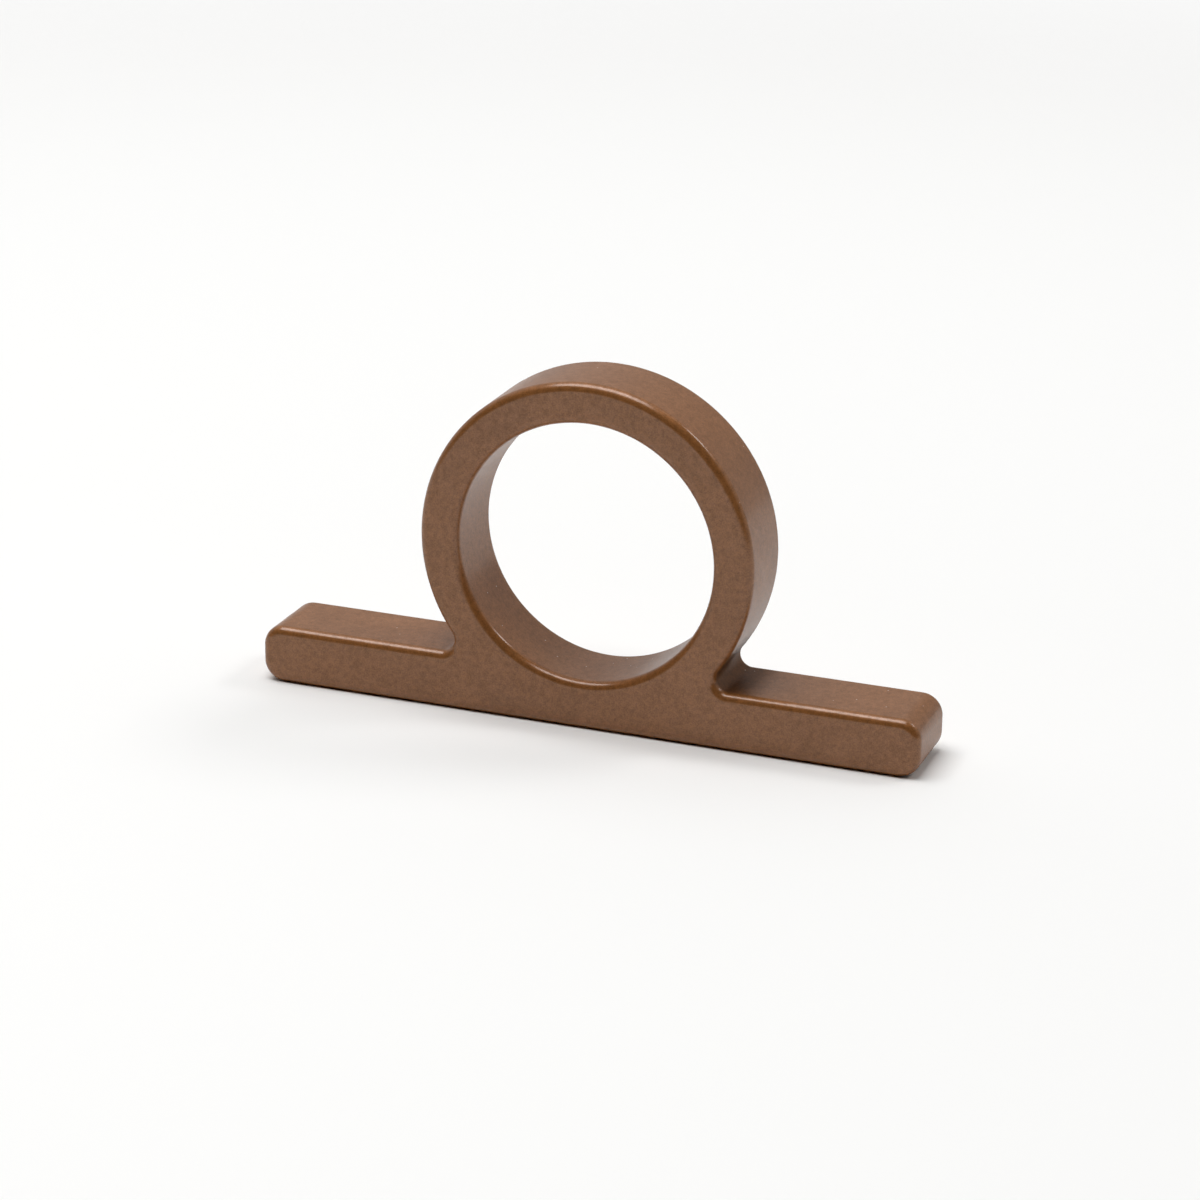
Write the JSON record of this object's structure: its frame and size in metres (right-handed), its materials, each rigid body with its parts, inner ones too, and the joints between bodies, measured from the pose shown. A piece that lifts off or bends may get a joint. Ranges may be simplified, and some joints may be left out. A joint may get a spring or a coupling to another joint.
{
  "type": "ring pull handle",
  "caption": "Drawer and cabinet pull: a flat finger ring that grows out of a short straight bar, cast in one piece, bronze lacquer.",
  "frame": {"origin": "middle of the flat base that lies against the drawer front", "axes": "+X along the bar, +Y from the front face to the back face, +Z out of the drawer front, away from the base"},
  "size_m": [0.08, 0.0102, 0.041],
  "materials": {
    "bronze_lacquer": "satin brown-bronze lacquer with a fine metallic grain over die-cast zinc"
  },
  "bodies": {
    "root": {"pull_handle": "bronze_lacquer"}
  },
  "joints": []
}
